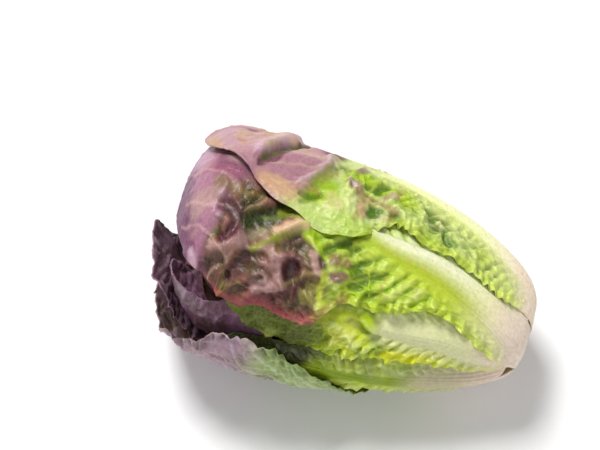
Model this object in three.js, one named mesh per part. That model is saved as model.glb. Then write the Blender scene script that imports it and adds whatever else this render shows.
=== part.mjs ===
// A head of romaine lettuce lying on its side: a short conical stem and twenty leaves wrapped round it.
// Millimetres, +Z up. The cut stem end points along +X and the leaf tips along -X.
// Each leaf lies on a shell of its own, nested in the shell of the next leaf out.
import * as THREE from 'three';

// ---- driving dimensions ----
const BELLY_RADIUS = 73; // largest radius of the outermost shell
const CAP_START = 186; // where the shells start to close over the tips, from the cut face
const CAP_DEPTH = 46; // how far the closed end reaches past that
const BELLY_POWER = 0.556; // how fast a shell swells out of the stem
const CAP_POWER = 2.6; // squareness of the closed end
const CAP_START_INSET = 0.45; // how much sooner an inner shell starts to close, per mm of inset
const CAP_DEPTH_INSET = 0.6; // how much shallower its closed end is, per mm of inset
const LEAST_CAP = 8; // smallest depth of a closed end
const STEM_RADIUS = 14.5; // the cut stem
const STEM_LENGTH = 54;
const LEAF_CLEARANCE = 3.6; // from the stem's skin to the middle of a leaf base
const BLADE = 0.8; // thickness of the thin green blade
const SQUASH = 0.86; // height of the head over its width
const TILT = 8; // degrees, stem end lower, so that the belly lies level
const ROLL = 3; // degrees, near side lower, so that the head's weight bears well inside the flat
const FLAT_DEPTH = 1.8; // how much the underside is pressed flat where it rests
const SLANT = 0.09; // how far the tips reach further on the far side, per mm across
const SIDE_BLEND = 22; // mm over which the near side's width passes into the far side's
const WAVE_LENGTH = 37; // from crest to crest along a waved margin
const LEAST_BEND = 12; // smallest radius a blade bends round, mm
const RIB_OUT = 0.65; // share of the rib's height that stands on the outer side
const RIB_SHARE = 0.68; // most of the blade's half width that the rib may take
const END_ROUNDING = 2.4; // how much of a leaf's end stays straight before its corners round off
const HEART_LEAVES = 12;
const GOLDEN_ANGLE = 137.5; // degrees between one heart leaf and the next
const FIRST_TURN = 20; // where the outermost heart leaf lies
const HEART_INSET = 20.5; // its shell, inside the outermost shell
const HEART_STEP = 3.1; // from each heart shell to the next
const HEART_ROWS = 12; // cells along a heart leaf
const SIDE_CELLS = 4; // cells from the rib to each margin
const HEART_SIDE_CELLS = 2;

const rad = THREE.MathUtils.degToRad;
const clamp = THREE.MathUtils.clamp;

// Smooth step from 0 at e0 to 1 at e1.
function ease(e0, e1, x) {
  const t = clamp((x - e0) / (e1 - e0), 0, 1);
  return t * t * (3 - 2 * t);
}

// A smooth curve through [position, value] stations that never overshoots them.
function curve(x, stations) {
  const n = stations.length;
  const slope = [];
  for (let i = 0; i + 1 < n; i++) {
    slope.push((stations[i + 1][1] - stations[i][1]) / (stations[i + 1][0] - stations[i][0]));
  }
  const m = stations.map((_, i) => {
    if (i === 0) return slope[0];
    if (i === n - 1) return slope[n - 2];
    return (slope[i - 1] + slope[i]) / 2;
  });
  slope.forEach((s, i) => {
    for (const j of [i, i + 1]) {
      if (s === 0) m[j] = 0;
      else if (m[j] / s < 0) m[j] = 0;
      else if (m[j] / s > 3) m[j] = 3 * s;
    }
  });
  const p = clamp(x, stations[0][0], stations[n - 1][0]);
  let i = 0;
  while (i < n - 2 && p >= stations[i + 1][0]) i++;
  const h = stations[i + 1][0] - stations[i][0];
  const t = (p - stations[i][0]) / h;
  return (1 + 2 * t) * (1 - t) ** 2 * stations[i][1] + t * (1 - t) ** 2 * h * m[i]
    + t * t * (3 - 2 * t) * stations[i + 1][1] + t * t * (t - 1) * h * m[i + 1];
}

// ---- the shell of one leaf: a profile from the stem, round the belly, over the closed end ----
const capRadius = (angle, belly, depth) =>
  ((Math.abs(Math.cos(angle)) / depth) ** CAP_POWER
    + (Math.abs(Math.sin(angle)) / belly) ** CAP_POWER) ** (-1 / CAP_POWER);

const PROFILE_POINTS = 400;

function shellProfile(attach, baseRadius, inset) {
  const belly = BELLY_RADIUS - inset;
  const start = CAP_START - CAP_START_INSET * inset;
  const depth = Math.max(LEAST_CAP, CAP_DEPTH - CAP_DEPTH_INSET * inset);
  const points = [];
  for (let i = 0; i < PROFILE_POINTS; i++) {
    const q = (i / (PROFILE_POINTS - 1)) ** 2;
    const swell = (1 - (1 - q) ** 2) ** BELLY_POWER;
    points.push([q * (start - attach) + attach, baseRadius + (belly - baseRadius) * swell, Math.PI / 2]);
  }
  for (let i = 1; i < PROFILE_POINTS; i++) {
    const angle = Math.PI / 2 - Math.PI * i / (PROFILE_POINTS - 1);
    const rho = capRadius(angle, belly, depth);
    points.push([start + rho * Math.cos(angle), rho * Math.sin(angle), angle]);
  }
  const run = [0];
  for (let i = 1; i < points.length; i++) {
    run.push(run[i - 1] + Math.hypot(points[i][0] - points[i - 1][0], points[i][1] - points[i - 1][1]));
  }
  return { points, run, start, belly, depth };
}

// Axial place, radius and cap angle at a distance s along the profile.
function onProfile(shell, s) {
  const { points, run } = shell;
  let lo = 0;
  let hi = run.length - 1;
  while (hi - lo > 1) {
    const mid = (lo + hi) >> 1;
    if (run[mid] <= s) lo = mid;
    else hi = mid;
  }
  const t = clamp((s - run[lo]) / (run[hi] - run[lo]), 0, 1);
  return points[lo].map((v, k) => v + (points[hi][k] - v) * t);
}

// ---- from the head's axis to the ground ----
// a runs along the head from the cut face, p is up and q is towards -Y, all from the head's axis.
function place(a, p, q) {
  const nearSide = 0.98 - 0.09 * (1 - ease(15, 100, a));
  const farSide = 1.035 - 0.045 * ease(50, 130, a);
  const side = (nearSide + farSide) / 2 + (nearSide - farSide) / 2 * Math.tanh(q / SIDE_BLEND);
  const slant = a - SLANT * q * ease(150, 235, a);
  const z = p * SQUASH;
  const t = rad(TILT);
  const r = rad(ROLL);
  const across = -q * side;
  const up = slant * Math.sin(t) + z * Math.cos(t);
  return [-slant * Math.cos(t) + z * Math.sin(t), across * Math.cos(r) - up * Math.sin(r),
    up * Math.cos(r) + across * Math.sin(r)];
}

// ---- leaves ----
// turn: where the rib lies round the axis, in degrees from straight up towards -Y.
// scallop: the in and out swing of the margins, over the blade's half width.
// minus, plus: how far the blade reaches on each side of the rib, mm.
// lift: how far the tip leaves its shell; frill: height of the margin waves on each side, mm.
// tuck: how far each side slips in under its neighbours (negative is inwards), mm.
// folds: raised folds of the blade, [along, across, direction, half length, half width, height].
const OUTER_LEAVES = {
  leaf_top_back: {
    rows: 30, attach: 0.5, inset: -2.4, length: 246, round: 0.12, rib: 1, scallop: 0.015,
    turn: [[0, -62], [0.15, -58], [0.5, -62], [1, -58]],
    minus: [[0, 12], [0.06, 24], [0.2, 24], [0.35, 34], [0.55, 62], [0.8, 66], [1, 48]],
    plus: [[0, 10], [0.085, 28], [0.16, 38], [0.24, 42], [0.35, 46], [0.42, 50], [0.48, 50], [0.55, 65],
      [0.6, 74], [0.66, 76], [0.76, 72], [0.86, 65], [0.95, 54], [1, 42]],
    lift: [[0, 0], [0.45, 0], [0.7, -3], [1, -3.4]], frill: [1, 1.2],
    folds: [[150, 40, 60, 16, 8, 2.5], [178, 26, 20, 20, 9, 2.5], [205, 30, 70, 18, 9, 2.5]],
  },
  leaf_top_main: {
    rows: 30, attach: 1.0, inset: 3, length: 270, round: 0.16, rib: 1, scallop: 0.012,
    turn: [[0, 32], [0.067, 17], [0.13, 5], [0.2, -2], [0.3, -8], [0.44, -10], [0.52, -17], [0.64, -26],
      [0.8, -30], [1, -28]],
    minus: [[0, 8.5], [0.06, 17], [0.2, 24], [0.35, 40], [0.55, 66], [0.8, 72], [1, 56]],
    plus: [[0, 14], [0.07, 21], [0.11, 25], [0.17, 26], [0.24, 24], [0.3, 27], [0.36, 36], [0.42, 42],
      [0.475, 46], [0.515, 59], [0.545, 75], [0.64, 87], [0.74, 92], [0.85, 97], [1, 80]],
    lift: [[0, 0], [0.45, 0], [0.7, -2.2], [1, -2.2]], frill: [0, 1],
    folds: [[150, 40, 40, 18, 8, 2.5], [172, 50, 75, 22, 9, 3], [190, 36, 20, 26, 9, 3],
      [208, 58, 60, 22, 10, 3], [226, 34, 80, 22, 10, 2.5]],
  },
  leaf_low_front: {
    rows: 30, attach: 0.6, inset: 0, length: 252, round: 0.22, rib: 0.8, scallop: 0.02,
    turn: [[0, 134], [0.1, 142], [0.25, 145], [0.6, 144], [1, 140]],
    minus: [[0, 12], [0.06, 17], [0.2, 20], [0.35, 24], [0.43, 44], [0.48, 62], [0.575, 82], [0.68, 89],
      [0.83, 98], [1, 94]],
    plus: [[0, 10.5], [0.06, 19], [0.2, 24], [0.35, 38], [0.55, 60], [0.8, 62], [1, 46]],
    lift: [[0, 0], [0.75, 0], [1, 5]], frill: [1.2, 0],
    folds: [[172, -34, 0, 36, 22, 4.5]],
  },
  leaf_low_back: {
    rows: 26, attach: 2.2, inset: 3.8, length: 284, round: 0.2, rib: 0.8, scallop: 0.03,
    turn: [[0, 212], [0.3, 206], [0.75, 184], [1, 159]],
    minus: [[0, 10], [0.06, 21], [0.2, 26], [0.35, 40], [0.55, 60], [0.8, 62], [1, 54]],
    plus: [[0, 12], [0.06, 22], [0.2, 26], [0.35, 38], [0.55, 58], [0.8, 40], [1, 12]],
    lift: [[0, 0], [0.89, 0], [0.95, 5], [1, 11]], frill: [0, 0],
    folds: [],
  },
  leaf_mid_front: {
    rows: 22, attach: 6.5, inset: 8.8, length: 192, round: 0.2, rib: 0.7, scallop: 0.03,
    turn: [[0, 48], [0.15, 42], [0.3, 36], [0.6, 38], [1, 40]],
    minus: [[0, 12], [0.06, 22], [0.2, 24], [0.35, 40], [0.55, 62], [0.8, 66], [1, 48]],
    plus: [[0, 8], [0.06, 12], [0.2, 18], [0.32, 21], [0.42, 24], [0.6, 27], [0.8, 30], [1, 30]],
    lift: [[0, 0], [1, 0]], frill: [0, 0.8],
    folds: [],
  },
  leaf_side_front: {
    rows: 22, attach: 10, inset: 7, length: 182, round: 0.2, rib: 0.55, scallop: 0.03, tuck: [-4.5, 0],
    turn: [[0, 100], [0.1, 92], [0.3, 85], [1, 84]],
    minus: [[0, 9], [0.06, 14], [0.2, 24], [0.35, 35], [0.55, 34], [0.8, 22], [1, 16]],
    plus: [[0, 12], [0.06, 22], [0.2, 26], [0.35, 40], [0.55, 58], [0.8, 62], [1, 48]],
    lift: [[0, 0], [1, 0]], frill: [0, 0.8],
    folds: [[90, 22, 0, 60, 22, 4.5]],
  },
  leaf_low_inner: {
    rows: 20, attach: 12.5, inset: 13.4, length: 238, round: 0.22, rib: 0.6, scallop: 0.02,
    turn: [[0, 168], [0.3, 150], [0.7, 124], [1, 118]],
    minus: [[0, 12], [0.06, 20], [0.2, 24], [0.35, 30], [0.55, 38], [0.66, 46], [0.76, 68], [0.85, 76],
      [1, 68]],
    plus: [[0, 12], [0.06, 20], [0.2, 26], [0.35, 40], [0.55, 60], [0.8, 62], [1, 48]],
    lift: [[0, 0], [0.8, 0], [0.9, 2.5], [1, 7]], frill: [0, 0],
    folds: [],
  },
  leaf_side_back: {
    rows: 20, attach: 8, inset: 7.5, length: 244, round: 0.2, rib: 0.6, scallop: 0.03,
    turn: [[0, 255], [0.3, 252], [1, 250]],
    minus: [[0, 12], [0.06, 22], [0.2, 26], [0.35, 40], [0.55, 62], [0.8, 66], [1, 50]],
    plus: [[0, 12], [0.06, 22], [0.2, 26], [0.35, 40], [0.55, 62], [0.8, 66], [1, 50]],
    lift: [[0, 0], [1, 0]], frill: [0, 0],
    folds: [],
  },
};

// Twelve heart leaves, each a golden angle round from the last, smaller and higher on the stem.
function heartLeaf(i) {
  const inset = HEART_INSET + HEART_STEP * i;
  const k = 1 - inset / (BELLY_RADIUS + 5); // size beside an outer leaf
  const turn = (FIRST_TURN + GOLDEN_ANGLE * i) % 360;
  const half = [[0, 12 * k ** 0.4], [0.06, 18 * k ** 0.6], [0.2, 28 * k], [0.35, 46 * k], [0.55, 74 * k],
    [0.8, 78 * k], [1, 56 * k]];
  return {
    rows: HEART_ROWS, attach: 14 + 2.25 * i, inset, length: 213 - 8.5 * i, round: 0.2, rib: 0.5 - 0.03 * i,
    scallop: 0.03,
    turn: [[0, turn], [1, turn]], minus: half, plus: half, lift: [[0, 0], [1, 0]], frill: [0, 0], folds: [],
  };
}

// The stem's radius at a distance from the cut face.
const STEM = [[0, STEM_RADIUS - 0.6], [1.2, STEM_RADIUS], [20, 12.6], [36, 8.6], [48, 5], [STEM_LENGTH, 0]];
const stemRadius = (a) => curve(a, STEM.slice(0, 5));

const RIB_HEIGHT = [[0, 4.5], [0.08, 7], [0.25, 6], [0.5, 4], [0.75, 2.2], [1, 0.5]];
const RIB_HALF_WIDTH = [[0, 10], [0.1, 15], [0.2, 13], [0.35, 9.5], [0.5, 6.5], [0.75, 4], [1, 2.5]];
const BLADE_THICKNESS = [[0, 2.4], [0.1, 1.6], [0.25, 1], [0.4, BLADE], [1, BLADE]];

function prepare(leaf) {
  leaf.shell = shellProfile(leaf.attach, stemRadius(leaf.attach) + LEAF_CLEARANCE, leaf.inset);
  return leaf;
}

// The run along the leaf: the sides stop short of the tip, which rounds the leaf's end.
const runAlong = (leaf, u, v) =>
  u * leaf.length * (1 - leaf.round * Math.abs(v) ** END_ROUNDING * ease(0.35, 1, u));

// How far the blade stands off its shell at u (0 at the stem, 1 at the tip), y mm from the rib.
function standOff(leaf, u, y, v) {
  const s = runAlong(leaf, u, v);
  const [frillMinus, frillPlus] = leaf.frill;
  const frill = v < 0 ? frillMinus : frillPlus;
  const [tuckMinus, tuckPlus] = leaf.tuck ?? [0, 0];
  const tuck = v < 0 ? tuckMinus : tuckPlus;
  let d = curve(s / leaf.length, leaf.lift) + tuck * ease(0.1, 0.6, Math.abs(v)) * ease(0, 0.12, u);
  const wave = Math.sin(2 * Math.PI * s / WAVE_LENGTH + 2.4 * v);
  d += frill * ease(0.45, 1, Math.abs(v)) * ease(0.03, 0.2, u) * (1 + wave);
  for (const [along, across, direction, halfLength, halfWidth, height] of leaf.folds) {
    const c = Math.cos(rad(direction));
    const k = Math.sin(rad(direction));
    const e = ((s - along) * c + (y - across) * k) / halfLength;
    const f = (-(s - along) * k + (y - across) * c) / halfWidth;
    d += height * Math.exp(-e * e - f * f);
  }
  return d;
}

// A point of a leaf, off mm outside its shell.
function leafPoint(leaf, u, y, v, off) {
  const shell = leaf.shell;
  const [axial, radius, angle] = onProfile(shell, runAlong(leaf, u, v));
  const onCap = angle < Math.PI / 2 - 1e-9;
  const centre = onCap ? shell.start : axial;
  const rho0 = onCap ? capRadius(angle, shell.belly, shell.depth) : radius;
  const swing = y / Math.max(rho0, LEAST_BEND);
  const phi = rad(curve(u, leaf.turn));
  const dAxial = Math.cos(swing) * Math.cos(angle);
  const dRadial = Math.cos(swing) * Math.sin(angle);
  const dAround = Math.sin(swing);
  const polar = Math.atan2(Math.hypot(dRadial, dAround), dAxial);
  const rho = (onCap ? capRadius(polar, shell.belly, shell.depth) : radius) + off;
  const out = rho * dRadial;
  const round = rho * dAround;
  return place(centre + rho * dAxial, out * Math.cos(phi) - round * Math.sin(phi),
    out * Math.sin(phi) + round * Math.cos(phi));
}

// Rows of outer and inner skin points of a leaf.
function leafSkins(leaf, sideCells) {
  const { rows } = leaf;
  const outer = [];
  const inner = [];
  for (let i = 0; i <= rows; i++) {
    const u = i / rows;
    const phase = 2 * Math.PI * u * leaf.length / WAVE_LENGTH;
    const swing = leaf.scallop * ease(0.12, 0.35, u);
    const minus = curve(u, leaf.minus) * (1 + swing * Math.sin(phase + 1.2));
    const plus = curve(u, leaf.plus) * (1 + swing * Math.sin(phase * 0.9 + 0.4));
    const ribHalf = Math.min(curve(u, RIB_HALF_WIDTH), RIB_SHARE * Math.min(minus, plus));
    const height = curve(u, RIB_HEIGHT) * leaf.rib;
    const blade = curve(u, BLADE_THICKNESS);
    const ys = [];
    for (let j = sideCells; j >= 1; j--) ys.push(-ribHalf - (minus - ribHalf) * j / sideCells);
    for (let j = -2; j <= 2; j++) ys.push(ribHalf * j / 2);
    for (let j = 1; j <= sideCells; j++) ys.push(ribHalf + (plus - ribHalf) * j / sideCells);
    const rowOuter = [];
    const rowInner = [];
    for (const y of ys) {
      const v = y < 0 ? y / minus : y / plus;
      const bump = Math.max(0, 1 - (y / ribHalf) ** 2) ** 2;
      const mid = standOff(leaf, u, y, v);
      rowOuter.push(leafPoint(leaf, u, y, v, mid + blade / 2 + RIB_OUT * height * bump));
      rowInner.push(leafPoint(leaf, u, y, v, mid - blade / 2 - (1 - RIB_OUT) * height * bump));
    }
    outer.push(rowOuter);
    inner.push(rowInner);
  }
  return { outer, inner };
}

// One closed body from its two skins, joined round the edge.
function bodyGeometry({ outer, inner }) {
  const rows = outer.length;
  const columns = outer[0].length;
  const positions = [...outer.flat(), ...inner.flat()].flat();
  const index = [];
  const o = (i, j) => i * columns + j;
  const n = (i, j) => rows * columns + i * columns + j;
  for (let i = 0; i + 1 < rows; i++) {
    for (let j = 0; j + 1 < columns; j++) {
      index.push(o(i, j), o(i + 1, j + 1), o(i, j + 1), o(i, j), o(i + 1, j), o(i + 1, j + 1));
      index.push(n(i, j), n(i, j + 1), n(i + 1, j + 1), n(i, j), n(i + 1, j + 1), n(i + 1, j));
    }
  }
  const rim = [];
  for (let j = 0; j + 1 < columns; j++) rim.push([0, j]);
  for (let i = 0; i + 1 < rows; i++) rim.push([i, columns - 1]);
  for (let j = columns - 1; j > 0; j--) rim.push([rows - 1, j]);
  for (let i = rows - 1; i > 0; i--) rim.push([i, 0]);
  rim.forEach(([i, j], k) => {
    const [i2, j2] = rim[(k + 1) % rim.length];
    index.push(o(i, j), o(i2, j2), n(i2, j2), o(i, j), n(i2, j2), n(i, j));
  });
  const geometry = new THREE.BufferGeometry();
  geometry.setAttribute('position', new THREE.Float32BufferAttribute(positions, 3));
  geometry.setIndex(index);
  return geometry;
}

// The stem: a turned cone, closed at the cut face and at its point.
function stemSkin() {
  const round = 24;
  const stations = [0, 1.2, 8, 16, 24, 32, 40, 48];
  const positions = [place(0, 0, 0)];
  stations.forEach((a) => {
    for (let k = 0; k < round; k++) {
      const t = 2 * Math.PI * k / round;
      positions.push(place(a, stemRadius(a) * Math.cos(t), stemRadius(a) * Math.sin(t)));
    }
  });
  positions.push(place(STEM_LENGTH, 0, 0));
  const index = [];
  const at = (i, k) => 1 + i * round + (k % round);
  for (let k = 0; k < round; k++) {
    index.push(0, at(0, k), at(0, k + 1));
    for (let i = 0; i + 1 < stations.length; i++) {
      index.push(at(i, k), at(i + 1, k), at(i + 1, k + 1), at(i, k), at(i + 1, k + 1), at(i, k + 1));
    }
    index.push(at(stations.length - 1, k), positions.length - 1, at(stations.length - 1, k + 1));
  }
  return { positions: positions.flat(), index };
}

// ---- putting the head together ----
const green = (name, colour, roughness) =>
  new THREE.MeshStandardMaterial({ name, color: colour, roughness, metalness: 0, side: THREE.DoubleSide });
const COLOURS = {
  core_stem: green('stem', 0xece0c2, 0.6),
  leaf_top_back: green('red_leaf', 0x9a8f5a, 0.5),
  leaf_top_main: green('red_leaf', 0x8a5f68, 0.5),
  leaf_low_front: green('red_leaf', 0x6c5a62, 0.55),
  leaf_low_back: green('red_leaf', 0x4a2f3a, 0.5),
  leaf_low_inner: green('red_leaf', 0x563a46, 0.5),
  leaf_mid_front: green('pale_leaf', 0xdfe6b4, 0.45),
  leaf_side_front: green('pale_leaf', 0xd0dca8, 0.45),
  leaf_side_back: green('pale_leaf', 0xb9cf83, 0.45),
};
const HEART = green('heart_leaf', 0xd6e29a, 0.45);

const bodies = [];
for (const [name, leaf] of Object.entries(OUTER_LEAVES)) {
  bodies.push([name, bodyGeometry(leafSkins(prepare(leaf), SIDE_CELLS)), COLOURS[name]]);
}
for (let i = 0; i < HEART_LEAVES; i++) {
  const name = 'heart_leaf_' + String(i + 1).padStart(2, '0');
  bodies.push([name, bodyGeometry(leafSkins(prepare(heartLeaf(i)), HEART_SIDE_CELLS)), HEART]);
}
const stem = stemSkin();
const stemGeometry = new THREE.BufferGeometry();
stemGeometry.setAttribute('position', new THREE.Float32BufferAttribute(stem.positions, 3));
stemGeometry.setIndex(stem.index);
bodies.push(['core_stem', stemGeometry, COLOURS.core_stem]);

// The head is set down: its lowest skin is pressed flat on the ground and the origin goes under its middle.
const box = new THREE.Box3();
for (const [, geometry] of bodies) {
  geometry.computeBoundingBox();
  box.union(geometry.boundingBox);
}
const ground = box.min.z + FLAT_DEPTH;
const middle = box.getCenter(new THREE.Vector3());
for (const [, geometry] of bodies) {
  const position = geometry.getAttribute('position');
  const half = position.count / 2;
  for (let i = 0; i < position.count; i++) {
    const floor = i < half ? 0 : BLADE;
    position.setXYZ(i, position.getX(i) - middle.x, position.getY(i) - middle.y,
      Math.max(position.getZ(i) - ground, floor));
  }
  geometry.computeVertexNormals();
  geometry.computeBoundingBox();
}

const group = new THREE.Group();
group.name = 'romaine_head';
for (const [name, geometry, material] of bodies) {
  const mesh = new THREE.Mesh(geometry, material);
  mesh.name = name;
  group.add(mesh);
}

export default group;
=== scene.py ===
"""Looks of a red-tipped romaine lettuce head lying on its side: twenty crinkled leaves round a cut stem.

Lengths of the plant are written in millimetres along and round the head and become metres
when a surface is put into its mesh.
"""
import math

import bpy
import numpy as np
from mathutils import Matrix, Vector


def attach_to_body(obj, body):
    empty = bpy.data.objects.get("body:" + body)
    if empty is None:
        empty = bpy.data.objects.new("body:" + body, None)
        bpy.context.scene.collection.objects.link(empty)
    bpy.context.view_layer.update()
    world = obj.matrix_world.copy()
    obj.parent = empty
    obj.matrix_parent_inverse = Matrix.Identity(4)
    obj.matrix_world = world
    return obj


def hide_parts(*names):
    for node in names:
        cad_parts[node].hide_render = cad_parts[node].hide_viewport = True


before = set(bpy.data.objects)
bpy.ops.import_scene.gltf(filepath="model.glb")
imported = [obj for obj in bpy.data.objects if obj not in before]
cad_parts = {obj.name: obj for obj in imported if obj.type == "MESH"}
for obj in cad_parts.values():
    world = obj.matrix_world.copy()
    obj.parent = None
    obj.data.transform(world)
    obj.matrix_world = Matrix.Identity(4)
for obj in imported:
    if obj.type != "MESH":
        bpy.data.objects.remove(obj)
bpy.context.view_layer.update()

# ---------------------------------------------------------------------------------------------
# The cut stem. A short solid cone of pale, moist tissue that every leaf grows from; the knife
# left a flat face at its wide end, which browns at the rim as it dries.

STEM_RADIUS = 14.5
STEM_LENGTH = 54.0
STEM_RIBS = 7  # faint ribs down the skin
STEM_RIB_HEIGHT = 0.012  # over the radius
STEM_TWIST = 0.2  # how far their wave shifts round, in radians of itself for each mm along
CUT_DISH = 0.5  # how deep the cut face is hollowed
STEM_PROFILE = [(0, STEM_RADIUS - 0.6), (1.2, STEM_RADIUS), (20, 12.6), (36, 8.6), (48, 5)]
SQUASH = 0.86  # the head's height over its width
NEAR_REACH, NEAR_WAIST = 0.98, 0.09  # width factor of the near side and how much less it is by the stem
NEAR_SWELL = (15, 100)  # where along the head the near side gains its width
FAR_REACH, FAR_WAIST = 1.035, 0.045  # width factor of the far side by the stem and its loss further on
FAR_SHRINK = (50, 130)  # where the far side loses it
SIDE_BLEND = 22  # mm over which the near width turns into the far one
SLANT_RUN = (150, 235)  # where the tips' slant comes in
TIP_SLANT = 0.09  # how far the far side's tips reach past the near side's, over the distance across
TILT = math.radians(8)  # stem end lower
ROLL = math.radians(3)
GROUND = -40.8142  # the ground, seen from the head's axis
MIDDLE = (-118.0823, -1.5942)  # the middle of the head, seen from the stem end of its axis


def ease(start, end, x):
    """Rises from 0 at start to 1 at end as 3t^2 - 2t^3 of the clipped fraction t between them."""
    t = np.clip((x - start) / (end - start), 0, 1)
    return t * t * (3 - 2 * t)


def curve(x, stations):
    """A monotone cubic through (place, value) stations: Hermite pieces whose slopes are the mean
    of the chords on each side, limited so that no piece overshoots its stations."""
    place, value = (np.array(c, float) for c in zip(*stations))
    slope = np.diff(value) / np.diff(place)
    m = np.r_[slope[0], (slope[1:] + slope[:-1]) / 2, slope[-1]]
    for i, chord in enumerate(slope):
        for j in (i, i + 1):
            if chord == 0 or m[j] / chord < 0:
                m[j] = 0
            elif m[j] / chord > 3:
                m[j] = 3 * chord
    x = np.clip(np.asarray(x, float), place[0], place[-1])
    i = np.clip(np.searchsorted(place, x, side="right") - 1, 0, len(place) - 2)
    h = place[i + 1] - place[i]
    t = (x - place[i]) / h
    return ((1 + 2 * t) * (1 - t) ** 2 * value[i] + t * (1 - t) ** 2 * h * m[i]
            + t * t * (3 - 2 * t) * value[i + 1] + t * t * (t - 1) * h * m[i + 1])


def to_ground(a, p, q):
    """Head coordinates to the ground frame: a runs along the axis from the cut face, p is up and q
    is towards -Y. The head is narrower on its near side, flatter than wide, slanted at its tips,
    tilted, rolled a little to the near side, and set down on the ground."""
    near = NEAR_REACH - NEAR_WAIST * (1 - ease(*NEAR_SWELL, a))
    far = FAR_REACH - FAR_WAIST * ease(*FAR_SHRINK, a)
    side = (near + far) / 2 + (near - far) / 2 * np.tanh(q / SIDE_BLEND)
    slant = a - TIP_SLANT * q * ease(*SLANT_RUN, a)
    z = p * SQUASH
    across, up = -q * side, slant * np.sin(TILT) + z * np.cos(TILT)
    return np.stack([-slant * np.cos(TILT) + z * np.sin(TILT) - MIDDLE[0],
                     across * np.cos(ROLL) - up * np.sin(ROLL) - MIDDLE[1],
                     up * np.cos(ROLL) + across * np.sin(ROLL) - GROUND], -1)


def lattice(seed, size=64):
    """Seeded random numbers on a square lattice that repeats."""
    return np.random.default_rng(seed).uniform(-1, 1, (size, size))


def noise(x, y, size, seed):
    """Smooth random heights from -1 to 1: lattice values every size mm, blended by 3t^2 - 2t^3."""
    table = lattice(seed)
    n = table.shape[0]
    gx, gy = np.asarray(x) / size, np.asarray(y) / size
    ix, iy = np.floor(gx).astype(int), np.floor(gy).astype(int)
    fx, fy = ease(0, 1, gx - ix), ease(0, 1, gy - iy)
    v00, v10 = table[ix % n, iy % n], table[(ix + 1) % n, iy % n]
    v01, v11 = table[ix % n, (iy + 1) % n], table[(ix + 1) % n, (iy + 1) % n]
    return (v00 * (1 - fx) + v10 * fx) * (1 - fy) + (v01 * (1 - fx) + v11 * fx) * fy


def linear(colour):
    """A display colour of 0 to 255 a channel as the linear light that a shader takes."""
    c = np.array(colour, float) / 255
    return np.where(c <= 0.04045, c / 12.92, ((c + 0.055) / 1.055) ** 2.4)


def mix(first, second, share):
    """The first colour turning into the second by share, point by point. Either may be a display
    colour, written as three numbers from 0 to 255."""
    first, second = (linear(c) if isinstance(c, tuple) else c for c in (first, second))
    share = np.clip(share, 0, 1)[..., None]
    return first * (1 - share) + second * share


def add_mesh(name, points, faces, caps=(), tone=None, rib=None, uv=None):
    """A smooth mesh object from points in millimetres, four-cornered faces and many-cornered caps,
    with its colours and rib marks by point and its leaf coordinates by corner."""
    mesh = bpy.data.meshes.new(name)
    mesh.vertices.add(len(points))
    mesh.vertices.foreach_set("co", (points / 1000).astype(np.float32).ravel())
    sizes = np.r_[np.full(len(faces), 4), np.array([len(cap) for cap in caps], int)]
    corners = np.concatenate([faces.ravel(), *caps])
    mesh.loops.add(len(corners))
    mesh.loops.foreach_set("vertex_index", corners.astype(np.int32))
    mesh.polygons.add(len(sizes))
    mesh.polygons.foreach_set("loop_start", np.r_[0, np.cumsum(sizes)[:-1]].astype(np.int32))
    mesh.polygons.foreach_set("use_smooth", np.ones(len(sizes), bool))
    if uv is not None:
        layer = mesh.uv_layers.new(name="leaf")
        layer.data.foreach_set("uv", uv[corners].astype(np.float32).ravel())
    if tone is not None:
        attribute = mesh.color_attributes.new("tone", "FLOAT_COLOR", "POINT")
        rgba = np.concatenate([np.clip(tone, 0, 1), np.ones((len(tone), 1))], 1)
        attribute.data.foreach_set("color", rgba.astype(np.float32).ravel())
    if rib is not None:
        attribute = mesh.attributes.new("rib", "FLOAT", "POINT")
        attribute.data.foreach_set("value", rib.astype(np.float32))
    mesh.update(calc_edges=True)
    mesh.validate()
    piece = bpy.data.objects.new(name, mesh)
    bpy.context.scene.collection.objects.link(piece)
    return piece


def grid_faces(rows, columns, wrap=False):
    """Four-cornered faces of a grid of points numbered row by row; wrap joins the last column to the
    first."""
    i, j = np.meshgrid(np.arange(rows - 1), np.arange(columns if wrap else columns - 1), indexing="ij")
    k = (j + 1) % columns
    return np.stack([i * columns + j, i * columns + k, (i + 1) * columns + k, (i + 1) * columns + j],
                    -1).reshape(-1, 4)


def set_inputs(tree, node, inputs):
    """Gives a node's inputs, by name or number, a fixed value or a link from another node's output."""
    for key, value in inputs.items():
        if isinstance(value, bpy.types.NodeSocket):
            tree.links.new(value, node.inputs[key])
        else:
            node.inputs[key].default_value = value


def add_node(tree, kind, inputs, **settings):
    """A new shader node with its settings and inputs."""
    node = tree.nodes.new("ShaderNode" + kind)
    for key, value in settings.items():
        setattr(node, key, value)
    set_inputs(tree, node, inputs)
    return node


def new_material(name):
    """An empty material, its node tree and its shader."""
    material = bpy.data.materials.new(name)
    material.use_nodes = True
    return material, material.node_tree, material.node_tree.nodes["Principled BSDF"]


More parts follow.
